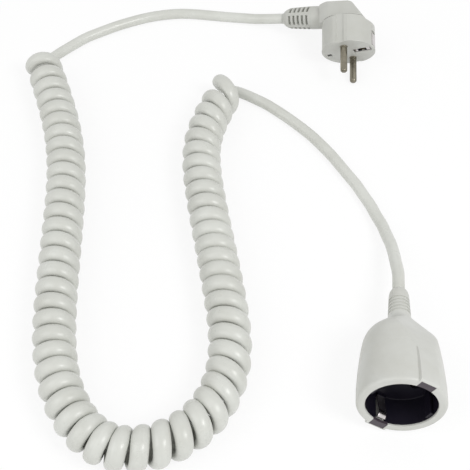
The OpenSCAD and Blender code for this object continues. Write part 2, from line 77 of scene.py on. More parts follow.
# %% [markdown]
# Two small frames of reference do for the whole object. The socket's own frame has z out of its mouth
# and y through its two earth clips. The plug's own frame has z along its pins and -y towards the cord.
# Both are turned and set down with the same angles as their solids. Lengths here are in millimetres,
# because that is how such parts are drawn, and the last step of each function makes them metres.

# %% The two ends' own frames
def turn(axis, degrees):
    """Rotation matrix about x (0) or z (2) by an angle, by the right-hand rule."""
    c, s = np.cos(np.radians(degrees)), np.sin(np.radians(degrees))
    if axis == 0:
        return np.array([[1, 0, 0], [0, c, -s], [0, s, c]])
    return np.array([[c, -s, 0], [s, c, 0], [0, 0, 1]])


SOCKET_TILT, SOCKET_ROLL = 6, -29.5
PLUG_YAW, PLUG_TILT, PLUG_ROLL = 3.8, 23, -64.6
ARM_TILT = 9.6
SOCKET_TURN = turn(0, 90 - SOCKET_TILT) @ turn(2, SOCKET_ROLL)
SOCKET_AT = np.array([0, -38.327, 25.268])
PLUG_TURN = turn(2, PLUG_YAW) @ turn(0, 90 + PLUG_TILT) @ turn(2, PLUG_ROLL)
PLUG_AT = np.array([-33.5, 240.5, 16.907])
ARM_TURN = turn(0, 90 + ARM_TILT)
ARM_AT = np.array([0, 0, -27.2])


def from_socket(points):
    """Points in mm in the socket's own frame, to metres in the row frame."""
    return (np.asarray(points) @ SOCKET_TURN.T + SOCKET_AT) * MM


def from_plug(points):
    """Points in mm in the plug's own frame, to metres in the row frame."""
    return (np.asarray(points) @ PLUG_TURN.T + PLUG_AT) * MM


def from_arm(points):
    """Points in mm in the frame of the plug's arm, whose z runs out to the cord, to metres."""
    return from_plug(np.asarray(points) @ ARM_TURN.T + ARM_AT)


print("socket mouth", from_socket([0, 0, 0]), "plug face", from_plug([0, 0, 0]))

# %% [markdown]
# A grid of points becomes a mesh when each square of four neighbours is joined into a face. A tube
# closes round one way and gets a cap at each end. A ring of a profile that closes on itself closes
# both ways, like a doughnut. One helper does all of them. It also lays a UV map on the faces: u goes
# once round the columns and v is the distance along the rows, which drawn metal and cord need for
# marks that run along them.

# %% From a grid of points to a mesh
def skin(name, grid, close_rows=False, caps=False, smooth=True):
    """Mesh over grid[row, column]: square (i, j) joins points (i, j), (i, j+1), (i+1, j+1), (i+1, j)."""
    rows, columns, _ = grid.shape
    i = np.arange(rows if close_rows else rows - 1)
    j = np.arange(columns)
    a = (i[:, None] * columns + j[None, :]).ravel()
    b = (i[:, None] * columns + (j[None, :] + 1) % columns).ravel()
    c = (((i[:, None] + 1) % rows) * columns + (j[None, :] + 1) % columns).ravel()
    d = (((i[:, None] + 1) % rows) * columns + j[None, :]).ravel()
    faces = np.column_stack([a, b, c, d]).tolist()
    if caps:
        faces.append(list(range(columns - 1, -1, -1)))
        faces.append(list(range((rows - 1) * columns, rows * columns)))
    mesh = bpy.data.meshes.new(name)
    mesh.from_pydata(grid.reshape(-1, 3).tolist(), [], faces)
    mesh.update()
    along = np.linalg.norm(grid - np.roll(grid, 1, axis=0), axis=-1).mean(axis=1)
    along[0] = 0
    v = np.append(np.cumsum(along), np.cumsum(along)[-1])
    u = np.arange(columns + 1) / columns
    corners = np.stack([
        np.stack(np.broadcast_arrays(u[None, j + dj], v[i + di, None]), axis=-1)
        for di, dj in ((0, 0), (0, 1), (1, 1), (1, 0))
    ], axis=2).reshape(-1, 2)
    uv = np.zeros((len(mesh.loops), 2))
    uv[:len(corners)] = corners
    mesh.uv_layers.new(name="UVMap").data.foreach_set("uv", uv.ravel())
    mesh.polygons.foreach_set("use_smooth", np.full(len(mesh.polygons), smooth))
    piece = bpy.data.objects.new(name, mesh)
    bpy.context.scene.collection.objects.link(piece)
    print(name, len(mesh.vertices), "points", len(mesh.polygons), "faces")
    return piece


# %% [markdown]
# The curly cord is a helix whose axis is itself a curve. The axis is a smooth spline that passes near
# given points, one for every four curls. Each point of the cord is the axis point plus an arm that goes
# once round for each curl. In the bend the curls lean a little, as they do when the real coil is pushed
# round a corner, and the curls at the two ends close up and lean towards their leads.

# %% The coil's centre line
CURLS = 56
COIL_RADIUS = 8.9
COIL_HEIGHT = 12.55
CLOSE_FIRST, CLOSE_LAST = 7, 9
CURLS_PER_POINT = 4
CURL_START = 270
COIL_ROUTE = np.array([
    [-244.5, 214], [-224.5, 170.5], [-210, 128.5], [-203.5, 84], [-198.5, 40.5], [-193, -3.5],
    [-182, -43.5], [-151, -78], [-103.5, -59], [-88.5, -16], [-99, 30.5], [-109, 68],
    [-120.5, 110.5], [-129, 153.5], [-114.3, 199.8],
])
COIL_LEAN = np.array([14, 3, 0, 0, 0, 6, 20, 8, -8, -10, -3, 0, 0, -6, -17.0])


def spline(rows, u, slope=False):
    """Uniform cubic B-spline at u, which passes near the rows, or its derivative."""
    rows = rows.reshape(len(rows), -1)
    wide = np.vstack([2 * rows[0] - rows[1], rows, 2 * rows[-1] - rows[-2]])
    i = np.clip(np.floor(u).astype(int), 0, len(rows) - 2)
    f = (u - i)[:, None]
    if slope:
        w = [-(1 - f) ** 2, 3 * f ** 2 - 4 * f, -3 * f ** 2 + 2 * f + 1, f ** 2]
        return sum(w[k] * wide[i + k] for k in range(4)) / 2
    w = [(1 - f) ** 3, 3 * f ** 3 - 6 * f ** 2 + 4, -3 * f ** 3 + 3 * f ** 2 + 3 * f + 1, f ** 3]
    return sum(w[k] * wide[i + k] for k in range(4)) / 6


def coil(t):
    """Centre points and outward directions of the cord at t, counted in curls from the plug's end."""
    way = spline(COIL_ROUTE, t / CURLS_PER_POINT, slope=True)
    way /= np.linalg.norm(way, axis=1)[:, None]
    close = CLOSE_LAST * np.maximum(0, t - CURLS + 1) ** 2 - CLOSE_FIRST * np.maximum(0, 1 - t) ** 2
    axis = spline(COIL_ROUTE, t / CURLS_PER_POINT) + way * close[:, None]
    lean = np.radians(spline(COIL_LEAN, t / CURLS_PER_POINT)[:, 0])
    side = np.column_stack([way[:, 1] * np.cos(lean) + way[:, 0] * np.sin(lean),
                            way[:, 1] * np.sin(lean) - way[:, 0] * np.cos(lean)])
    angle = np.radians(CURL_START + 360 * t)
    outward = np.column_stack([side * np.cos(angle)[:, None], np.sin(angle)])
    centre = np.column_stack([axis, np.full(len(t), COIL_HEIGHT)])
    return centre + COIL_RADIUS * outward, outward


STEPS = 32
coil_points, coil_outward = coil(np.arange(CURLS * STEPS + 1) / STEPS)
print("coil centre line", len(coil_points), "points")

# %% [markdown]
# From each end of the coil a plain stretch of cord runs over the floor, one to the plug and one to
# the socket. A smooth curve through a few points keeps the stretch free of kinks: each piece between
# two points is a cubic that leaves the first and meets the second along the line of their neighbours.

# %% The two leads and the whole route
# height of the cord's middle where it lies on the floor, and the ends of the sleeve round the cord
FLOOR = 3.65
SOCKET_TIP = 79.0
ARM_END, ARM_TIP = 27.3, 49.3
PLUG_LEAD = np.array([
    [-243.41, 227.51, FLOOR], [-240.2, 232.6, FLOOR], [-234.5, 239.6, FLOOR], [-223.2, 252.3, FLOOR],
    [-213.5, 260, FLOOR], [-203, 267.5, FLOOR], [-192, 274, FLOOR], [-181, 279.5, FLOOR],
    [-169.5, 283.5, FLOOR], [-158, 286, FLOOR], [-146, 286.5, FLOOR], [-134, 286, FLOOR],
    [-122, 285.5, 3.7], [-110, 284.9, 4], [-101.5, 283.6, 5.1], [-92, 281.3, 7.8],
])
SOCKET_LEAD = np.array([
    [-108.1, 207.9, FLOOR], [-104.3, 206.5, FLOOR], [-97.44, 203.2, FLOOR], [-86.5, 197, FLOOR],
    [-74.5, 188, FLOOR], [-64.5, 179.5, FLOOR], [-55.5, 171, FLOOR], [-48, 162.5, FLOOR],
    [-41.5, 154.5, FLOOR], [-35.5, 146, FLOOR], [-30, 138, FLOOR], [-24.5, 130, FLOOR],
    [-20, 122, FLOOR], [-15.5, 114, 3.8], [-12, 106, 4.1], [-8.5, 98, 5.1], [-6, 89.5, 6.7],
    [-3.5, 80.5, 8.8], [-2, 71.5, 11.2], [-1, 62.5, 13.6], [0, 54, 15.4], [0, 46.5, 16.3],
])
socket_exit = from_socket([0, 0, -SOCKET_TIP]) / MM
plug_exit = from_arm([0, 0, ARM_TIP]) / MM


def through(points, step):
    """Cubic through every point: between two, the slope at each is half the gap of its neighbours."""
    ends = np.vstack([2 * points[0] - points[1], points, 2 * points[-1] - points[-2]])
    out = []
    for a, b, c, d in zip(ends, ends[1:], ends[2:], ends[3:]):
        count = max(2, int(round(np.linalg.norm(c - b) / step)))
        f = (np.arange(count) / count)[:, None]
        out.append(0.5 * (2 * b + (c - a) * f + (2 * a - 5 * b + 4 * c - d) * f ** 2
                          + (-a + 3 * b - 3 * c + d) * f ** 3))
    return np.vstack(out + [points[-1:]])


LEAD_STEP = 1.8
socket_side = through(np.vstack([coil_points[-3:-2], coil_points[-1:], SOCKET_LEAD, socket_exit]), LEAD_STEP)
plug_side = through(np.vstack([coil_points[2:3], coil_points[:1], PLUG_LEAD, plug_exit]), LEAD_STEP)
start_s = int(np.argmin(np.linalg.norm(socket_side - coil_points[-1], axis=1))) + 1
start_p = int(np.argmin(np.linalg.norm(plug_side - coil_points[0], axis=1))) + 1
socket_side, plug_side = socket_side[start_s:], plug_side[start_p:]
route = np.vstack([socket_side[::-1], coil_points[::-1], plug_side])

# %% [markdown]
# The jacket is a soft round tube. Wound into the coil it flattens a little, wider along the coil than
# across it. Where two curls come close in the bend, the tube is only as wide as the room between them.

# %% The cord's jacket
CORD_DIAMETER = 7.3
CURL_WIDTH, CURL_HEIGHT = 9.9, 7.1
CURL_ROOM = 0.08
FADE_CURLS = 0.6
SIDES = 20
along = np.gradient(route, axis=0)
along /= np.linalg.norm(along, axis=1)[:, None]
up = np.tile([0.0, 0, 1], (len(route), 1))
first = len(socket_side)
last = first + len(coil_points)
up[first:last] = -coil_outward[::-1]
across = np.cross(along, up)
across /= np.linalg.norm(across, axis=1)[:, None]
up = np.cross(across, along)

half_up = np.full(len(route), CORD_DIAMETER / 2)
half_across = np.full(len(route), CORD_DIAMETER / 2)
spacing = np.full(len(coil_points), np.inf)
turn_gap = np.linalg.norm(coil_points[STEPS:] - coil_points[:-STEPS], axis=1)
spacing[:-STEPS] = turn_gap
spacing[STEPS:] = np.minimum(spacing[STEPS:], turn_gap)
wide = np.minimum(CURL_WIDTH, spacing - CURL_ROOM) / 2
t_coil = np.arange(len(coil_points)) / STEPS
fade = np.clip(np.minimum(t_coil, CURLS - t_coil) / FADE_CURLS, 0, 1)
fade = fade * fade * (3 - 2 * fade)
half_across[first:last] += (fade * (wide - CORD_DIAMETER / 2))[::-1]
half_up[first:last] += (fade * (CURL_HEIGHT - CORD_DIAMETER) / 2)[::-1]
angle = 2 * np.pi * np.arange(SIDES) / SIDES
tube = (route[:, None] + up[:, None] * (half_up[:, None] * np.cos(angle))[..., None]
        + across[:, None] * (half_across[:, None] * np.sin(angle))[..., None])
cord = skin("cord_jacket", tube * MM, caps=True)
print("cord tube lowest point", round(tube[..., 2].min(), 3), "mm")
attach(cord, ROOT)
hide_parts("coupler_lead", "curly_cord", "plug_lead")

# %% [markdown]
# Moulded plastic never has a knife edge. The next helpers draw a section as straight lines, round its
# corners with small curves, and spin it about z or draw it out straight.

# %% Sections, turned pieces and straight blocks
# half the angle at a corner, in radians, past which it is straight, and the most of a side to take
STRAIGHT_HALF = 1.5
SIDE_SHARE = 0.49


def rounded(points, radii, count=5):
    """Open line with its corners replaced by short curves that start r*tan(a/2) off a turn of angle a."""
    points = np.asarray(points, float)
    radii = np.broadcast_to(radii, len(points))
    out = [points[:1]]
    for p, q, r, radius in zip(points, points[1:], points[2:], radii[1:-1]):
        a, b = (p - q) / np.linalg.norm(p - q), (r - q) / np.linalg.norm(r - q)
        half = np.arccos(np.clip(a @ b, -1, 1)) / 2
        if radius <= 0 or half > STRAIGHT_HALF:
            out.append(q[None])
            continue
        reach = min([radius / np.tan(half)] + [SIDE_SHARE * np.linalg.norm(end - q) for end in (p, r)])
        start, end = q + a * reach, q + b * reach
        f = np.linspace(0, 1, count)[:, None]
        out.append((1 - f) ** 2 * start + 2 * f * (1 - f) * q + f ** 2 * end)
    return np.vstack(out + [points[-1:]])


def turned(name, section, place, columns=96, loop=False, offset=(0, 0)):
    """Section (r, z) spun about z: x = r cos a + offset, y = r sin a + offset."""
    a = 2 * np.pi * np.arange(columns) / columns
    section = np.asarray(section, float)
    grid = np.stack([section[:, :1] * np.cos(a) + offset[0], section[:, :1] * np.sin(a) + offset[1],
                     np.repeat(section[:, 1:], columns, axis=1)], axis=-1)
    return skin(name, place(grid), close_rows=loop, caps=not loop)


def block(name, outline, low, high, place, order=(0, 1, 2)):
    """Closed outline (u, v) drawn out from low to high; order says which axes u, v and the draw are."""
    outline = np.asarray(outline, float)
    rings = [np.column_stack([outline, np.full(len(outline), w)]) for w in (low, high)]
    grid = np.stack(rings)[..., list(order)]
    return skin(name, place(grid), caps=True, smooth=False)


def disc(x, y, r, count=40):
    """Circle round (x, y) as a closed outline."""
    a = 2 * np.pi * np.arange(count) / count
    return np.column_stack([x + r * np.cos(a), y + r * np.sin(a)])


def oblong(x0, y0, x1, y1, radius=0.6):
    """Rectangle with round corners, as a closed outline."""
    middle = (y0 + y1) / 2
    return rounded([[x0, middle], [x0, y0], [x1, y0], [x1, y1], [x0, y1], [x0, middle]], radius)[:-1]


def oblong_at(x, y, half_x, half_y, radius=0.6):
    """Rectangle with round corners round the middle (x, y), as a closed outline."""
    return oblong(x - half_x, y - half_y, x + half_x, y + half_y, radius)


def soft_line(x, xs, ys, width):
    """A bent line with its corners rounded: the mean of the line over a window round x."""
    return np.mean([np.interp(x + o, xs, ys) for o in np.linspace(-width, width, 9)], axis=0)


def step(x, a, b):
    """0 before a, 1 after b, and a smooth S between."""
    f = np.clip((x - a) / (b - a), 0, 1)
    return f * f * (3 - 2 * f)


# %% [markdown]
# A slot or a pocket is cut with a Boolean, because a cut with straight walls crosses the grid of a
# turned surface. A Boolean tells inside from outside by the faces' directions, so both pieces have
# their doubles merged and their faces turned outwards first. A finished piece is then seated: it
# rides on a body and stands for the CAD nodes that it replaces.

# %% Carving, shading and seating
# how far a cutter stands clear of the face that it cuts
CLEAR = 5


def crisp(piece, degrees=35):
    """Shade smooth, but keep edges sharper than the angle crisp."""
    mesh = piece.data
    mesh.polygons.foreach_set("use_smooth", np.ones(len(mesh.polygons), dtype=bool))
    mesh.set_sharp_from_angle(angle=np.radians(degrees))
    return piece


def outwards(piece):
    """Merge doubles and point every face of a closed piece outwards."""
    b = bmesh.new()
    b.from_mesh(piece.data)
    bmesh.ops.remove_doubles(b, verts=b.verts, dist=1e-7)
    bmesh.ops.recalc_face_normals(b, faces=b.faces)
    b.to_mesh(piece.data)
    b.free()
    return piece


def carve(piece, cutters):
    """Cut closed pieces out of a closed piece, then drop the cutters."""
    outwards(piece)
    for cutter in cutters:
        outwards(cutter)
        cut = piece.modifiers.new("cut", "BOOLEAN")
        cut.operation = "DIFFERENCE"
        cut.solver = "EXACT"
        cut.object = cutter
    bpy.context.view_layer.update()
    mesh = bpy.data.meshes.new_from_object(piece.evaluated_get(bpy.context.evaluated_depsgraph_get()))
    old = piece.data
    piece.modifiers.clear()
    piece.data = mesh
    bpy.data.meshes.remove(old)
    for cutter in cutters:
        bpy.data.objects.remove(cutter)
    print(piece.name, "carved to", len(mesh.polygons), "faces")
    return piece


def seat(piece, *replaced, body=ROOT, finish):
    """Ride on a body and stand for CAD nodes; finish is not used."""
    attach(piece, body)
    if replaced:
        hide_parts(*replaced)
    return piece


# %% [markdown]
# The socket's shell is a round body that is cut away on the two sides over its earth clips, so that
# it runs to the neck in a pointed arch there and keeps square shoulders on the other two sides. Its
# radius at angle a is the smaller of the round body's and that of two sloping planes, with the corner
# between them blended. Each clip side also carries a raised pad with a flat face and straight edges.
# A faint groove crosses each clip side behind its pad.

# %% The socket's outline
PAD_HALF, PAD_LENGTH, PAD_FADE = 6.0, 24.0, 3
CREASE_DEEP, CREASE_HALF = 0.26, 0.17
RECESS_R = 19.0
CAVITY_R = 20.0
LIP = 1.2
BORDER, BORDER_DEEP, BORDER_HALF = 27.2, 0.10, 0.3
BLEND, RIDGE_SOFT = 1.6, 0.28
TAB_HALF, TAB_REACH, TAB_DEEP = 4.6, 23.1, 2.0
ROOM = 0.1
NECK = 58.6
BODY_S = [0, 10, 20, 27, 34, 40, 44.5, 48.6, 52.2, 55, 56.8, NECK]
BODY_R = [23.8, 23.8, 23.1, 22.4, 21.5, 20.5, 18.6, 14.6, 10.6, 8.3, 6.9, 6.6]
SIDE_S = [0, 1.2, 10, 18, 22.5, 26, 31, 39.5, 47, 53.5, NECK]
SIDE_Y = [24.6, 24.6, 24.3, 23.5, 22.6, 21.7, 19.9, 16.6, 12.0, 8.6, 6.7]


def shell_radius(s, x, cosine):
    """Outer radius at distance s behind the mouth; x is the distance off the clips' plane."""
    body = soft_line(s, BODY_S, BODY_R, BLEND)
    plane = soft_line(s, SIDE_S, SIDE_Y, BLEND) / np.maximum(np.abs(cosine), 0.05)
    radius = -RIDGE_SOFT * np.logaddexp(-body / RIDGE_SOFT, -plane / RIDGE_SOFT)
    pad = 1 - step(np.abs(x), PAD_HALF - 0.12, PAD_HALF + 0.02)
    pad = pad * (1 - step(s, PAD_LENGTH - PAD_FADE, PAD_LENGTH))
    crease = CREASE_DEEP * np.exp(-((np.abs(x) - PAD_HALF - 0.2) / CREASE_HALF) ** 2)
    crease = crease * (1 - step(s, PAD_LENGTH - 1, PAD_LENGTH))
    border = BORDER_DEEP * np.exp(-((s - BORDER) / BORDER_HALF) ** 2) * step(cosine, 0.35, 0.6)
    return radius + (np.maximum(plane, radius) - radius) * pad - crease - border


print("socket body", NECK, "mm long, pads", 2 * PAD_HALF, "mm wide")

# %% [markdown]
# The columns of the shell's grid have to follow the straight edges of the pads, or the edges would
# show as steps. Near a clip each column keeps its distance off the clips' plane, in millimetres, and
# farther round the columns fan out evenly by angle. Half of the shell is made and then turned by 180
# degrees for the other half. Two pockets in the rim take the tabs of the dark insert.

# %% The socket's shell
RIM = 1.5
POCKET_Y, POCKET_HALF = 20.6, 2.6
edge_lines = np.array([0, 1.7, 3.4, 4.8, 5.6, 5.86, 5.92, 5.98, 6.04, 6.12, 6.2, 6.3, 6.45, 6.7, 7.2])
spread = np.linspace(0, 1, 36)[1:]
half = np.concatenate([edge_lines, spread])
straight = np.concatenate([np.ones(len(edge_lines)), np.zeros(len(spread))])
column_at = np.concatenate([-half[:0:-1], half])[1:]
straight = np.concatenate([straight[:0:-1], straight])[1:] > 0.5


def shell_angle(radius):
    """Angle off the clips' plane for each column, so that the pads keep straight sides."""
    reach = np.clip(radius, 19.0, 26.0)
    edge = np.arcsin(edge_lines[-1] / reach)
    fan = np.sign(column_at) * (edge + (np.pi / 2 - edge) * np.abs(column_at))
    return np.where(straight, np.arcsin(np.clip(column_at / reach, -1, 1)), fan)


outer_s = np.concatenate([
    np.linspace(NECK, 55, 8), np.linspace(54.2, 38, 28), np.linspace(37.2, 28.6, 12),
    np.linspace(28.2, 26.2, 14), np.linspace(25.6, 20, 14), np.linspace(19, 4, 12), [3, 2.2, RIM],
])
columns = len(column_at)
outer_s_grid = np.repeat(outer_s[:, None], columns, axis=1)
outer_r = np.full((len(outer_s), columns), 24.0)
for _ in range(3):
    at = shell_angle(outer_r)
    outer_r = shell_radius(outer_s_grid, outer_r * np.sin(at), np.cos(at))
quarter = np.radians(np.linspace(0, 90, 7))[1:, None]
arc_r = outer_r[-1] - RIM * (1 - np.cos(quarter))
arc_s = RIM * (1 - np.sin(quarter)) + 0 * arc_r
inner = np.array([
    [21.3, 0], [19.55, 0], [19.25, 0.06], [19.08, 0.3], [19.05, 0.5], [19.05, LIP], [CAVITY_R, LIP],
    [CAVITY_R, 20.5], [17.2, 20.5], [17.2, 37], [16, 37.1], [4.2, 50], [3.9, 50.1], [3.9, NECK],
])
shell_r = np.vstack([outer_r, arc_r, np.repeat(inner[:, :1], columns, axis=1)])
shell_s = np.vstack([outer_s_grid, arc_s, np.repeat(inner[:, 1:], columns, axis=1)])
shell_a = shell_angle(shell_r)
half_shell = [np.stack([shell_r * np.sin(shell_a + by), shell_r * np.cos(shell_a + by), -shell_s], axis=-1)
              for by in (0, np.pi)]
shell = skin("socket_shell", from_socket(np.concatenate(half_shell, axis=1)), close_rows=True)
pockets = [block("pocket", oblong_at(0, s * POCKET_Y, TAB_HALF + ROOM, POCKET_HALF, 0.25),
                 -TAB_DEEP - ROOM, CLEAR, from_socket) for s in (-1, 1)]
carve(shell, pockets)
crisp(shell, 38)
seat(shell, "coupler_body", finish="white_plastic")

# %% [markdown]
# A sleeve with rings round it leads the cord out of each end, so that the cord bends in a gentle curve
# there. On the socket five shallow grooves run right round. On the plug five deep slots are cut into
# the sleeve, each broken by five ribs that stay whole.

# %% The two strain reliefs
GROOVE_SLOPE, GROOVE_REACH = 0.14, 0.05
ROW_STEP = 0.6
BORE_ROOM = 0.07


def sleeve(name, place, ends, radius, grooves, width, depth, kept, columns=160):
    """Tube whose radius loses depth in each groove; kept(angle) is 1 where a rib stays."""
    low, high = ends
    rows = [low, high]
    for g in grooves:
        for o in (-width / 2 - GROOVE_SLOPE, -width / 2, width / 2, width / 2 + GROOVE_SLOPE):
            rows.append(g + o)
    nose = high - np.array([1.6, 1.2, 0.8, 0.5, 0.25, 0.1])
    rows = np.unique(np.concatenate([rows, np.arange(low, high, ROW_STEP), nose]))
    a = 2 * np.pi * np.arange(columns) / columns
    inside = sum((np.abs(rows - g) < width / 2 + GROOVE_REACH).astype(float) for g in grooves)
    r = radius(rows)[:, None] - depth * inside[:, None] * (1 - kept(a))[None, :]
    z = np.repeat(rows[:, None], columns, axis=1)
    outer = np.stack([r * np.cos(a), r * np.sin(a), z], axis=-1)
    bore = np.full((2, columns), CORD_DIAMETER / 2 + BORE_ROOM)
    back = np.stack([bore * np.cos(a), bore * np.sin(a), np.array([[high], [low]]) + 0 * bore], axis=-1)
    piece = skin(name, place(np.concatenate([outer, back])), close_rows=True)
    return crisp(outwards(piece), 40)


def socket_sleeve_radius(s):
    """Tapers slowly and ends in a round nose at the cord's end."""
    places, radii = [NECK, 74.5, 76.4, 77.7, 78.7, SOCKET_TIP], [6.55, 5.8, 5.5, 5.05, 4.35, 4.0]
    return soft_line(s, places, radii, 0.3)


def plug_sleeve_radius(s):
    """Tapers very little for most of its length, then ends in a bullet nose."""
    places, radii = [ARM_END, 35.4, 43.4, 45.8, 48, 49, ARM_TIP], [8.05, 7.75, 7.3, 6.7, 5.5, 4.5, 4.1]
    return soft_line(s, places, radii, 0.5)


RIB_START, RIB_PITCH = 178, 72


def ribs(a):
    """1 on the five ribs that run along the sleeve, 0 between, with short slopes."""
    off = np.abs((np.degrees(a) - RIB_START + RIB_PITCH / 2) % RIB_PITCH - RIB_PITCH / 2)
    return 1 - step(off, 9.5, 12)


socket_relief = sleeve("socket_relief", lambda g: from_socket(g * [1, 1, -1]), (NECK, SOCKET_TIP),
                       socket_sleeve_radius, [60.8, 63.2, 65.6, 68, 70.4], 1.2, 0.6, lambda a: 0 * a)
seat(socket_relief, "coupler_strain_relief", finish="white_plastic")
plug_relief = sleeve("plug_relief", from_arm, (ARM_END, ARM_TIP), plug_sleeve_radius,
                     [28.9, 32.3, 35.7, 39.1, 42.5], 1.6, 2.4, ribs)
seat(plug_relief, "plug_strain_relief", finish="white_plastic")

# %% [markdown]
# The plug's round base is turned, with a fine bead round its face and a soft edge. Its top is cut by
# a slope. Grooves down its two sides guide it into a socket, two pockets hold its earth strips, and a
# slot in the face lets a wall socket's earth pin in. Behind the slot two small sprung leaves show, and
# a fine parting groove runs round the base close under its top.

# %% The plug's base
PLUG_R = 18.6
EARTH_HOLE = (0, 10, 2.7)
EARTH_SLOT = (-2.5, 3.8, 2.5, 16.4)
BACK_SLOT = (-1.5, -15.4, 1.5, -12.2)
SLOT_DEEP = 2.6
# distance of each cut from the middle, and half its size along x and y
SIDE_FLAT, SIDE_GROOVE, STRIP_POCKET = (22.6, 5, 5.4), (21.9, 5, 2.8), (19.2, 3.2, 2)
PARTING_AT, PARTING_LEAN, PARTING_HIGH, PARTING_R = -20.8, 2.9, 0.4, 17.9
base_section = rounded([[0, 0], [PLUG_R - 0.1, 0], [PLUG_R, -0.9], [PLUG_R - 0.25, -1.3],
                        [PLUG_R - 0.25, -23.5], [0, -23.5]], [0, 0.35, 0.3, 0.3, 0, 0])
base = turned("plug_base", base_section[1:-1], from_plug, columns=192)
SIDE = (2, 0, 1)
TOP_SLOPE = [[-25, -22.6], [14.0, -20.6], [14.6, -20.0], [16.1, -18.0], [25, -16.1], [25, -40], [-25, -40]]
cutters = [block("cut_top", TOP_SLOPE, -30, 30, from_plug, SIDE)]
for s in (-1, 1):
    for name, (far, half_x, half_y) in (("cut_side", SIDE_FLAT), ("cut_groove", SIDE_GROOVE)):
        cutters.append(block(name, oblong_at(s * far, 0, half_x, half_y), -30, CLEAR, from_plug))
    far, half_x, half_y = STRIP_POCKET
    cutters.append(block("cut_strip", oblong_at(0, s * far, half_x, half_y, 0.3), -12, -1.1, from_plug))
cutters.append(block("cut_earth", disc(*EARTH_HOLE), -14, CLEAR, from_plug))
cutters.append(block("cut_slot", oblong(*EARTH_SLOT, 0.6), -SLOT_DEEP, CLEAR, from_plug))
cutters.append(block("cut_slot_back", oblong(*BACK_SLOT, 0.4), -SLOT_DEEP, CLEAR, from_plug))
PARTING = turn(0, PARTING_LEAN)


def along_top(points):
    """Points laid on the slope of the base's top, about half a millimetre under it, to metres."""
    return from_plug(np.asarray(points) @ PARTING.T + [0, 0, PARTING_AT])


parting_line = [[PARTING_R, 0], [20, 0], [20, PARTING_HIGH], [PARTING_R, PARTING_HIGH]]
cutters.append(turned("cut_parting", parting_line, along_top, 192, loop=True))
for s in (-1, 1):
    side_line = oblong_at(s * 19.2, 0, 1.9, 12, 0.2)
    cutters.append(block("cut_parting_side", side_line, 0, PARTING_HIGH, along_top))
carve(base, cutters)
crisp(base, 30)
seat(base, "plug_body", finish="white_plastic")
liner = block("plug_slot_liner", oblong(*EARTH_SLOT, 0.6), -2.58, -0.6, from_plug)
carve(liner, [block("cut_liner", disc(*EARTH_HOLE), -4, 1, from_plug)])
back_liner = block("plug_back_slot_liner", oblong(*BACK_SLOT, 0.4), -2.58, -0.7, from_plug)
leaves = [seat(crisp(piece, 30), finish="black_plastic") for piece in (liner, outwards(back_liner))]
for name, low, high in (("near", 4.6, 6.9), ("far", 13.1, 15.6)):
    leaf = block("plug_earth_leaf_" + name, oblong(-1.7, low, 1.7, high, 0.3), -1.2, -0.35, from_plug)
    crisp(outwards(leaf), 30)
    leaves.append(seat(leaf, finish="nickel"))

# %% [markdown]
# The hood over the wires has a flat sloped front, a crown and a square end above the cord's arm. Its
# outline is drawn from the side and carried across its width. Near each side the outline shrinks a
# little, by the height of a quarter circle, and that rounds the hood's edges.

# %% The plug's hood and arm
HOOD_HALF = 13.0
HOOD_EDGE = 0.55
HOOD_R = 18.2
HOOD_FOOT = -22.5
hood_line = rounded([
    [-6, -20.7], [-18, -21.2], [-18, -35.2], [4, -32.9], [7, -31.4], [13.9, -21.1], [13.9, -20.1], [-6, -20.7],
], [0, 0.4, 0.35, 5, 4, 0.5, 0.3, 0], 7)[:-1]
hood_rows = []
for x in HOOD_HALF * np.sin(np.radians(np.linspace(-90, 90, 45))):
    inset = HOOD_EDGE - np.sqrt(max(HOOD_EDGE ** 2 - max(abs(x) - (HOOD_HALF - HOOD_EDGE), 0) ** 2, 0))
    limit = np.sqrt(HOOD_R ** 2 - x ** 2) - inset
    back = np.interp(abs(x), [0, 10, 12, HOOD_HALF], [18, 18, 14, 10.5]) - inset
    y = np.clip(hood_line[:, 0], -back, limit)
    top = hood_line[:, 1] + inset * (hood_line[:, 1] < HOOD_FOOT)
    hood_rows.append(np.column_stack([np.full(len(y), x), y, top]))
hood = skin("plug_hood_cover", from_plug(np.stack(hood_rows)), caps=True)
crisp(outwards(hood), 32)
seat(hood, "plug_hood", finish="white_plastic")


ARM_R = 8.1
ARM_ROWS = (8, 12, 17, 22, 26.6, 27.1, ARM_END)


def arm_section(z, columns=96):
    """Circle round the cord's way out, at z along the arm."""
    a = 2 * np.pi * np.arange(columns) / columns
    return np.column_stack([ARM_R * np.cos(a), ARM_R * np.sin(a), np.full(columns, z)])


arm = skin("plug_arm", from_arm(np.stack([arm_section(z) for z in ARM_ROWS])), caps=True)
crisp(outwards(arm), 38)
seat(arm, "plug_hood", finish="white_plastic")

# %% [markdown]
# The pins are nickel-plated rods with round tips that stand out of small collars.

# %% The pins
PIN_X = 9.5
pin_section = rounded([
    [0, 19], [1.5, 18.9], [2.3, 18.0], [2.4, 16.6], [2.4, 0.35], [2.7, 0.2], [2.7, -3], [0, -3],
], [0, 0.6, 0.8, 0.8, 0.1, 0.1, 0, 0])
pins = []
for name, x in (("line_pin", PIN_X), ("neutral_pin", -PIN_X)):
    pin = turned(name + "_rod", pin_section[1:-1], from_plug, columns=48, offset=(x, 0))
    crisp(outwards(pin), 40)
    pins.append(seat(pin, name, finish="nickel"))

# %% [markdown]
# The dark insert is a cup that stands in the shell, with its rim under the shell's lip. Two pin holes
# lead through its floor to the contact sleeves. Two ribs guide the plug, and a channel in its wall
# leaves room for each earth clip. Its two tabs lie almost flush in the shell's rim.

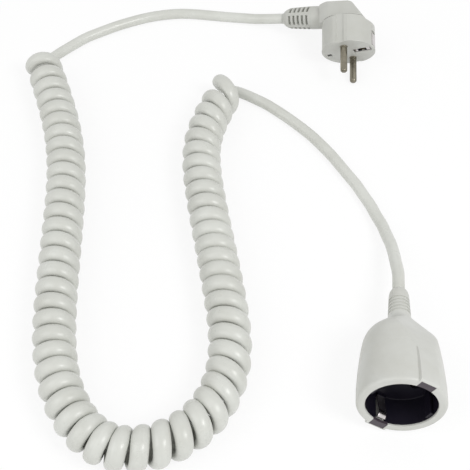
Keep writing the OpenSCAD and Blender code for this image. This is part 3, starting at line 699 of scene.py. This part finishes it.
# %% The insert
INSERT_R = CAVITY_R - ROOM
RECESS_FLOOR = -17.5
CHANNEL_Y, RIB_X = 18.9, 18.1
insert_section = rounded([[RECESS_R, -17.4], [RECESS_R, -1.5], [19.1, -1.3], [19.8, -1.3], [INSERT_R, -1.45],
                          [INSERT_R, -20.5], [17, -20.5], [17, -32.5], [0.01, -32.5]],
                         [0, 0.1, 0.05, 0.1, 0.1, 0.2, 0.2, 0.2, 0])
floor_section = rounded([[0.01, RECESS_FLOOR], [18.8, RECESS_FLOOR], [RECESS_R, -17.3]], [0, 0.15, 0])
insert = turned("socket_insert", np.vstack([floor_section, insert_section[1:]]), from_socket, columns=192)
CLIP_Y = RECESS_R - 0.7
cutters = []
for s in (-1, 1):
    cutters.append(block("cut_pin", disc(s * PIN_X, 0, 2.9, 48), -22, -10, from_socket))
    cutters.append(block("cut_sleeve", disc(s * PIN_X, 0, 3.6, 48), -34, -19.5, from_socket))
    channel, root = oblong_at(0, s * CHANNEL_Y, 2.8, 1.3, 0.2), oblong_at(0, s * CLIP_Y, 2.65, 1.1, 0.2)
    cutters.append(block("cut_channel", channel, RECESS_FLOOR, 0.5, from_socket))
    cutters.append(block("cut_root", root, -22, -16, from_socket))
carve(insert, cutters)
crisp(insert, 30)
seat(insert, "coupler_insert", finish="black_plastic")


def tab_outline():
    """Tab seen from the mouth: an arc along the recess inside and a straight edge outside."""
    wall = np.arcsin(TAB_HALF / RECESS_R) * np.linspace(1, -1, 9)
    arc = np.column_stack([RECESS_R * np.sin(wall), RECESS_R * np.cos(wall)])
    return np.vstack([[-TAB_HALF, TAB_REACH], [TAB_HALF, TAB_REACH], arc])


for s, name in ((1, "upper"), (-1, "lower")):
    tab = block("insert_tab_" + name, tab_outline() * [s, s], -TAB_DEEP, -0.08, from_socket)
    crisp(outwards(tab), 30)
    bevel = tab.modifiers.new("soft_edges", "BEVEL")
    bevel.width = 0.00015
    bevel.segments = 2
    bevel.limit_method = "ANGLE"
    seat(tab, "coupler_insert", finish="black_plastic")
for s, name in ((1, "right"), (-1, "left")):
    rib = block("insert_rib_" + name, oblong_at(s * RIB_X, 0, 1.1, 2.5, 0.5), -17.6, -1.5, from_socket)
    crisp(outwards(rib), 30)
    seat(rib, "coupler_insert", finish="black_plastic")

# %% [markdown]
# Each earth clip is a strip of sprung sheet metal. It rises from the floor, bows into the recess and
# turns back at its tip. The strip's line is a smooth curve, and a thin oblong is carried along it.

# %% The earth clips
CLIP_LINE = np.array([
    [0, -17.6], [0, -15], [-0.05, -13], [-0.4, -11.3], [-1, -9.6], [-1.45, -8], [-1.65, -6.6],
    [-1.6, -5.4], [-1.25, -4.2], [-0.7, -3.1], [-0.2, -2.5],
]) + [CLIP_Y, 0]
line = through(CLIP_LINE, 0.35)
tangent = np.gradient(line, axis=0)
tangent /= np.linalg.norm(tangent, axis=1)[:, None]
normal = np.column_stack([tangent[:, 1], -tangent[:, 0]])
cross = oblong(-2.4, -0.4, 2.4, 0.4, 0.25)
for s, name in ((1, "upper"), (-1, "lower")):
    grid = np.stack([
        np.column_stack([s * cross[:, 0], s * (p[0] + cross[:, 1] * n[0]), p[1] + cross[:, 1] * n[1]])
        for p, n in zip(line, normal)
    ])
    clip = skin("earth_clip_strip_" + name, from_socket(grid), caps=True)
    crisp(outwards(clip), 40)
    seat(clip, "earth_clip_" + name, body=name + "_clip", finish="nickel")

# %% [markdown]
# What hangs on the cord's far end, all of the plug, is gathered in one list.

plug_pieces = [base, hood, arm, plug_relief] + pins + leaves
plug_pieces += [nodes[n] for n in ("plug_bridge", "plug_earth_strip", "plug_earth_socket", "plug_cord_tail",
                                   "plug_line_wire", "plug_neutral_wire", "plug_earth_wire")]

# %% [markdown]
# Every finish here is made of nodes, so it needs no picture files. Three effects come back in several
# finishes: the fine grain that a mould leaves, the uneven tone of something that has been handled, and
# marks that run along a drawn or extruded piece, which on the pins are darkened into painted dark
# reflections. Each becomes a node group once. A few helpers keep the node code short: one adds a node
# and fills its inputs, one starts a group with named sockets, and the others add the nodes that come
# back most, for a sum, a noise, a new range and a mix.

# %% Helpers for nodes
FLOAT, COLOR = "NodeSocketFloat", "NodeSocketColor"


def put(tree, kind, inputs=None, **settings):
    """Add a node, set its properties, and fill its inputs with values or with other nodes' outputs."""
    node = tree.nodes.new(kind)
    for key, value in settings.items():
        setattr(node, key, value)
    for socket, value in (inputs or {}).items():
        if isinstance(value, bpy.types.NodeSocket):
            tree.links.new(value, node.inputs[socket])
        else:
            node.inputs[socket].default_value = value
    return node


def start_group(name, inputs, outputs):
    """New shader group: inputs are (label, socket type, value) and outputs are (label, socket type)."""
    tree = bpy.data.node_groups.new(name, "ShaderNodeTree")
    for label, kind, value in inputs:
        tree.interface.new_socket(label, in_out="INPUT", socket_type=kind).default_value = value
    for label, kind in outputs:
        tree.interface.new_socket(label, in_out="OUTPUT", socket_type=kind)
    print("group", name, "gives", [label for label, _ in outputs])
    return tree, tree.nodes.new("NodeGroupInput").outputs, tree.nodes.new("NodeGroupOutput")


def worked_out(tree, operation, *values):
    """Result of one Math node, such as MULTIPLY or SINE, on numbers or other nodes' outputs."""
    return put(tree, "ShaderNodeMath", dict(enumerate(values)), operation=operation).outputs[0]


def noise(tree, vector, scale, detail, roughness=0.5):
    """Cloudy noise over the vector, mostly between 0.3 and 0.7."""
    return put(tree, "ShaderNodeTexNoise", {"Vector": vector, "Scale": scale, "Detail": detail,
                                            "Roughness": roughness}).outputs[0]


def mapped(tree, value, low, high, to_low, to_high):
    """Value between low and high, spread out to to_low to to_high and held there beyond them."""
    return put(tree, "ShaderNodeMapRange", {"Value": value, "From Min": low, "From Max": high,
                                            "To Min": to_low, "To Max": to_high}).outputs["Result"]


def blended(tree, mask, first, second):
    """First colour where the mask is 0, second where it is 1."""
    mix = put(tree, "ShaderNodeMix", {0: mask, 6: first, 7: second}, data_type="RGBA")
    return mix.outputs[2]


# %% [markdown]
# A mould is spark-eroded or polished, and either leaves a grain of a fraction of a millimetre in the
# plastic. Two sizes of noise added together give its height. A much larger noise tells how evenly the
# surface shines, because a moulded wall is never quite equally smooth all over.

# %% Group: moulded grain
SHINE_SCALE, RIPPLE_SHARE = 60, 1.6
tree, given, out = start_group(
    "moulded_grain", [("Grain Scale", FLOAT, 1500), ("Ripple Scale", FLOAT, 240)],
    [("Height", FLOAT), ("Shine", FLOAT)])
place = put(tree, "ShaderNodeTexCoord").outputs["Object"]
grain = noise(tree, place, given["Grain Scale"], 4, 0.6)
ripple = noise(tree, place, given["Ripple Scale"], 2)
patch = noise(tree, place, SHINE_SCALE, 5, 0.6)
tree.links.new(worked_out(tree, "MULTIPLY_ADD", ripple, RIPPLE_SHARE, grain), out.inputs["Height"])
tree.links.new(mapped(tree, patch, 0.35, 0.65, 0, 1), out.inputs["Shine"])

# %% [markdown]
# A white plug yellows and greys with handling, in soft patches and in small specks of dust. The group
# mixes a clean colour towards a worn one by a patchy noise, and drops specks on top by a fine noise
# that is cut off high, so that only its peaks are left.

# %% Group: handled tone
DUST_SCALE = 620
tree, given, out = start_group(
    "handled_tone",
    [("Clean", COLOR, (1, 1, 1, 1)), ("Worn", COLOR, (0.8, 0.8, 0.7, 1)), ("Patch Scale", FLOAT, 45),
     ("Patches", FLOAT, 0.7), ("Specks", FLOAT, 0.4)],
    [("Color", COLOR)])
place = put(tree, "ShaderNodeTexCoord").outputs["Object"]
patch = mapped(tree, noise(tree, place, given["Patch Scale"], 6, 0.62), 0.38, 0.68, 0, 1)
dust = mapped(tree, noise(tree, place, DUST_SCALE, 2), 0.68, 0.76, 0, 1)
soft = worked_out(tree, "MULTIPLY", patch, given["Patches"])
speck = worked_out(tree, "MULTIPLY", dust, given["Specks"])
mask = worked_out(tree, "MAXIMUM", soft, speck)
tree.links.new(blended(tree, mask, given["Clean"], given["Worn"]), out.inputs["Color"])

# %% [markdown]
# Cord comes out of a die and a pin is drawn or turned, so their marks are long and thin. On the pins
# the marks are also darkened almost to black as painted dark reflections of the surroundings. The UV
# map has u once round a piece and v along it in metres. The sine and cosine of u put the pattern on a
# circle, which hides the seam, and v is scaled far less than the circle, which stretches the noise.

# %% Group: lengthwise marks, also painted reflections on the pins
tree, given, out = start_group(
    "lengthwise_marks",
    [("Round Scale", FLOAT, 3), ("Along Scale", FLOAT, 60), ("Low", FLOAT, 0.4), ("High", FLOAT, 0.65)],
    [("Mask", FLOAT), ("Height", FLOAT)])
uv = put(tree, "ShaderNodeSeparateXYZ", {0: put(tree, "ShaderNodeTexCoord").outputs["UV"]}).outputs
round_about = worked_out(tree, "MULTIPLY", uv[0], 2 * np.pi)
circle = [worked_out(tree, "MULTIPLY", worked_out(tree, way, round_about), given["Round Scale"])
          for way in ("COSINE", "SINE")]
lengthwise = worked_out(tree, "MULTIPLY", uv[1], given["Along Scale"])
spot = put(tree, "ShaderNodeCombineXYZ", {0: circle[0], 1: circle[1], 2: lengthwise})
marks_and_reflections = noise(tree, spot.outputs[0], 1.0, 4, 0.6)
tree.links.new(mapped(tree, marks_and_reflections, given["Low"], given["High"], 0, 1), out.inputs["Mask"])
tree.links.new(marks_and_reflections, out.inputs["Height"])

# %% [markdown]
# Each finish puts the groups together round one Principled shader. The colour comes from the handled
# tone, the roughness follows the shine of the grain, and the height of the grain goes into a Bump
# node. What is the same all over the piece, such as the index of refraction, is set on the shader.

# %% One finish from the groups
# the dark marks keep this share of the clean colour; on the pins they are painted dark reflections
STRIPE_SCALE, MARK_AND_REFLECTION_SHADE, MARK_HEIGHT = 120, 0.35, 1.5
BUMP_DISTANCE = 0.0002


def finish(name, clean, worn, rough=(0.35, 0.5), patches=0.7, specks=0.4, patch_scale=45, grain=1500,
           bump=0.1, metal=0.0, ior=1.5, marks_and_reflections=None, stripe=None):
    """Material from the groups; the marks tuple is (round, along, darkness), and on the pins that darkness is
    painted dark reflection; stripe is a second colour in bands.
    """
    material = bpy.data.materials.new(name)
    material.use_nodes = True
    tree = material.node_tree
    shader = tree.nodes["Principled BSDF"]
    shader.inputs["Metallic"].default_value = metal
    shader.inputs["IOR"].default_value = ior
    tone = put(tree, "ShaderNodeGroup", node_tree=bpy.data.node_groups["handled_tone"])
    for label, value in (("Clean", (*clean, 1)), ("Worn", (*worn, 1)), ("Patch Scale", patch_scale),
                         ("Patches", patches), ("Specks", specks)):
        tone.inputs[label].default_value = value
    surface = put(tree, "ShaderNodeGroup", node_tree=bpy.data.node_groups["moulded_grain"])
    surface.inputs["Grain Scale"].default_value = grain
    colour, height = tone.outputs["Color"], surface.outputs["Height"]
    roughness = mapped(tree, surface.outputs["Shine"], 0, 1, rough[0], rough[1])
    if stripe:
        wave = put(tree, "ShaderNodeTexWave", {"Vector": put(tree, "ShaderNodeTexCoord").outputs["Object"],
                                               "Scale": STRIPE_SCALE, "Distortion": 0.3}, bands_direction="Y")
        colour = blended(tree, mapped(tree, wave.outputs["Fac"], 0.46, 0.54, 0, 1), colour, (*stripe, 1))
    if marks_and_reflections:
        marks_and_reflections_node = put(tree, "ShaderNodeGroup", node_tree=bpy.data.node_groups["lengthwise_marks"])
        marks_and_reflections_node.inputs["Round Scale"].default_value, marks_and_reflections_node.inputs["Along Scale"].default_value = marks_and_reflections[:2]
        # painted reflection: on the pins the colour darkens along the marks almost to black, standing for dark
        # reflections; on the cord the marks are real
        dark = mapped(tree, marks_and_reflections_node.outputs["Mask"], 0, 1, 0, marks_and_reflections[2])
        colour = blended(tree, dark, colour, (*(MARK_AND_REFLECTION_SHADE * np.array(clean)), 1))
        height = worked_out(tree, "MULTIPLY_ADD", marks_and_reflections_node.outputs["Height"], MARK_HEIGHT, height)
    tree.links.new(colour, shader.inputs["Base Color"])
    tree.links.new(roughness, shader.inputs["Roughness"])
    bumps = put(tree, "ShaderNodeBump", {"Strength": bump, "Distance": BUMP_DISTANCE, "Height": height})
    tree.links.new(bumps.outputs[0], shader.inputs["Normal"])
    print("finish", name)
    return material


# %% [markdown]
# The white of the two ends is a hard plastic, a little darker on the plug. The cord's jacket is
# shinier, with faint marks along it. The insert is almost black with a hint of blue, and its tabs
# look lighter, because they catch dust. Pins and clips are nickel-plated and dulled in patches by long
# use. The pins' dark colour and the nearly black streaks along them are painted dark reflections. The
# three wires inside have the usual colours of brown, blue, and green with yellow.

# %% The finishes
white = finish("white_plastic", (0.585, 0.592, 0.56), (0.52, 0.522, 0.48), rough=(0.34, 0.46), bump=0.10)
plug_white = finish("plug_plastic", (0.53, 0.535, 0.502), (0.47, 0.472, 0.43), rough=(0.34, 0.46), bump=0.10)
jacket = finish("cord_jacket", (0.64, 0.65, 0.61), (0.55, 0.555, 0.51), rough=(0.24, 0.36), patches=0.8,
                patch_scale=38, grain=1100, bump=0.16, marks_and_reflections=(2.2, 45, 0.05))
black = finish("black_plastic", (0.006, 0.005, 0.011), (0.013, 0.011, 0.019), rough=(0.36, 0.5), ior=1.36,
               bump=0.15)
tab_black = finish("tab_plastic", (0.050, 0.038, 0.050), (0.075, 0.062, 0.072), rough=(0.42, 0.55),
                   patch_scale=160, bump=0.15)
# painted reflection: the pins' dark base colour and their nearly black streaks stand for dark reflections; the
# worn patches are wear
nickel = finish("nickel", (0.33, 0.305, 0.24), (0.16, 0.145, 0.11), rough=(0.12, 0.24), patches=0.9,
                patch_scale=150, metal=1, bump=0.12, marks_and_reflections=(9, 10, 0.95))
clip_metal = finish("clip_nickel", (0.68, 0.65, 0.65), (0.50, 0.46, 0.44), rough=(0.13, 0.26),
                    patch_scale=220, metal=1, bump=0.12, marks_and_reflections=(4, 30, 0.5))
brass = finish("brass", (0.62, 0.46, 0.21), (0.38, 0.27, 0.12), rough=(0.28, 0.45), patch_scale=160,
               metal=1, bump=0.12)
brown = finish("wire_brown", (0.13, 0.045, 0.018), (0.10, 0.04, 0.02), rough=(0.35, 0.5))
blue = finish("wire_blue", (0.03, 0.10, 0.38), (0.03, 0.08, 0.28), rough=(0.35, 0.5))
earth = finish("wire_green", (0.05, 0.27, 0.06), (0.05, 0.2, 0.05), rough=(0.35, 0.5),
               stripe=(0.72, 0.6, 0.05))

# %% [markdown]
# Now each piece gets its finish by its name. The CAD nodes that still show, or would show if a piece
# were taken off, are dressed the same way as the new pieces.

# %% Dress the pieces
FINISH_WORDS = [
    ("insert_tab", tab_black), ("insert", black), ("liner", black), ("bridge", black), ("clip", clip_metal),
    ("pin", nickel), ("contact_sleeve", brass), ("earth_socket", brass), ("earth_leaf", clip_metal),
    ("earth_strip", clip_metal), ("line_wire", brown), ("neutral_wire", blue), ("earth_wire", earth),
    ("cord", jacket), ("lead", jacket), ("plug", plug_white),
]


def dress(piece, material):
    """Give a piece one material over all of it."""
    piece.data.materials.clear()
    piece.data.materials.append(material)


def material_for(name):
    """First finish whose word is in the piece's name; white plastic when none is."""
    return next((material for word, material in FINISH_WORDS if word in name), white)


for name, piece in nodes.items():
    dress(piece, clip_metal if name == "earth_bridge" else material_for(name))
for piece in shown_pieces():
    if not piece.data.materials:
        dress(piece, material_for(piece.name))

# %% [markdown]
# The object lies on a wide pale floor. To the camera, and in reflections, part of the floor's colour is
# a plain white of strength 1, so that the floor fades to white and still keeps a soft shadow. A large
# key lamp and the even sky do most of the lighting, as in a studio with big soft boxes.

# %% Floor
def shown_ray(tree):
    """1 for a ray from the camera, a reflection or a glass, and 0 for the rays that light things."""
    rays = put(tree, "ShaderNodeLightPath").outputs
    seen = worked_out(tree, "MAXIMUM", rays["Is Camera Ray"], rays["Is Glossy Ray"])
    return worked_out(tree, "MAXIMUM", seen, rays["Is Transmission Ray"])


FLOOR_WHITE = 0.84
FLOOR_HALF, FLOOR_LOW = 6, -0.0002
corners = [(x * FLOOR_HALF, y * FLOOR_HALF, FLOOR_LOW) for x, y in ((-1, -1), (1, -1), (1, 1), (-1, 1))]
floor_mesh = bpy.data.meshes.new("floor")
floor_mesh.from_pydata(corners, [], [(0, 1, 2, 3)])
floor = bpy.data.objects.new("floor", floor_mesh)
bpy.context.scene.collection.objects.link(floor)
pale = bpy.data.materials.new("floor_pale")
pale.use_nodes = True
tree = pale.node_tree
tree.nodes.clear()
diffuse = put(tree, "ShaderNodeBsdfDiffuse", {"Color": (0.95, 0.95, 0.95, 1)})
glow = put(tree, "ShaderNodeEmission", {"Color": (1, 1, 1, 1), "Strength": 1})
share = worked_out(tree, "MULTIPLY", shown_ray(tree), FLOOR_WHITE)
both = put(tree, "ShaderNodeMixShader", {0: share, 1: diffuse.outputs[0], 2: glow.outputs[0]})
put(tree, "ShaderNodeOutputMaterial", {"Surface": both.outputs[0]})
dress(floor, pale)
print("floor white share", FLOOR_WHITE)

# %% Light
SKY = 0.66
CORD_MIDDLE = Vector((-0.1, 0.08, 0))
world = bpy.data.worlds.new("world")
bpy.context.scene.world = world
world.use_nodes = True
tree = world.node_tree
sky = tree.nodes["Background"]
sky.inputs["Color"].default_value = (1, 1, 1, 1)
level = mapped(tree, shown_ray(tree), 0, 1, SKY, 1)
tree.links.new(level, sky.inputs["Strength"])


def lamp(name, at, size, power):
    """Square soft box at a place, turned towards the middle of the cord."""
    data = bpy.data.lights.new(name, "AREA")
    data.size = size
    data.energy = power
    box = bpy.data.objects.new(name, data)
    bpy.context.scene.collection.objects.link(box)
    box.location = at
    box.rotation_euler = (CORD_MIDDLE - Vector(at)).to_track_quat("-Z", "Y").to_euler()


lamp("key", (0.75, -0.45, 1.2), 0.55, 9)
lamp("fill", (-0.95, -0.45, 1.0), 1.0, 4.5)
print("sky", SKY)
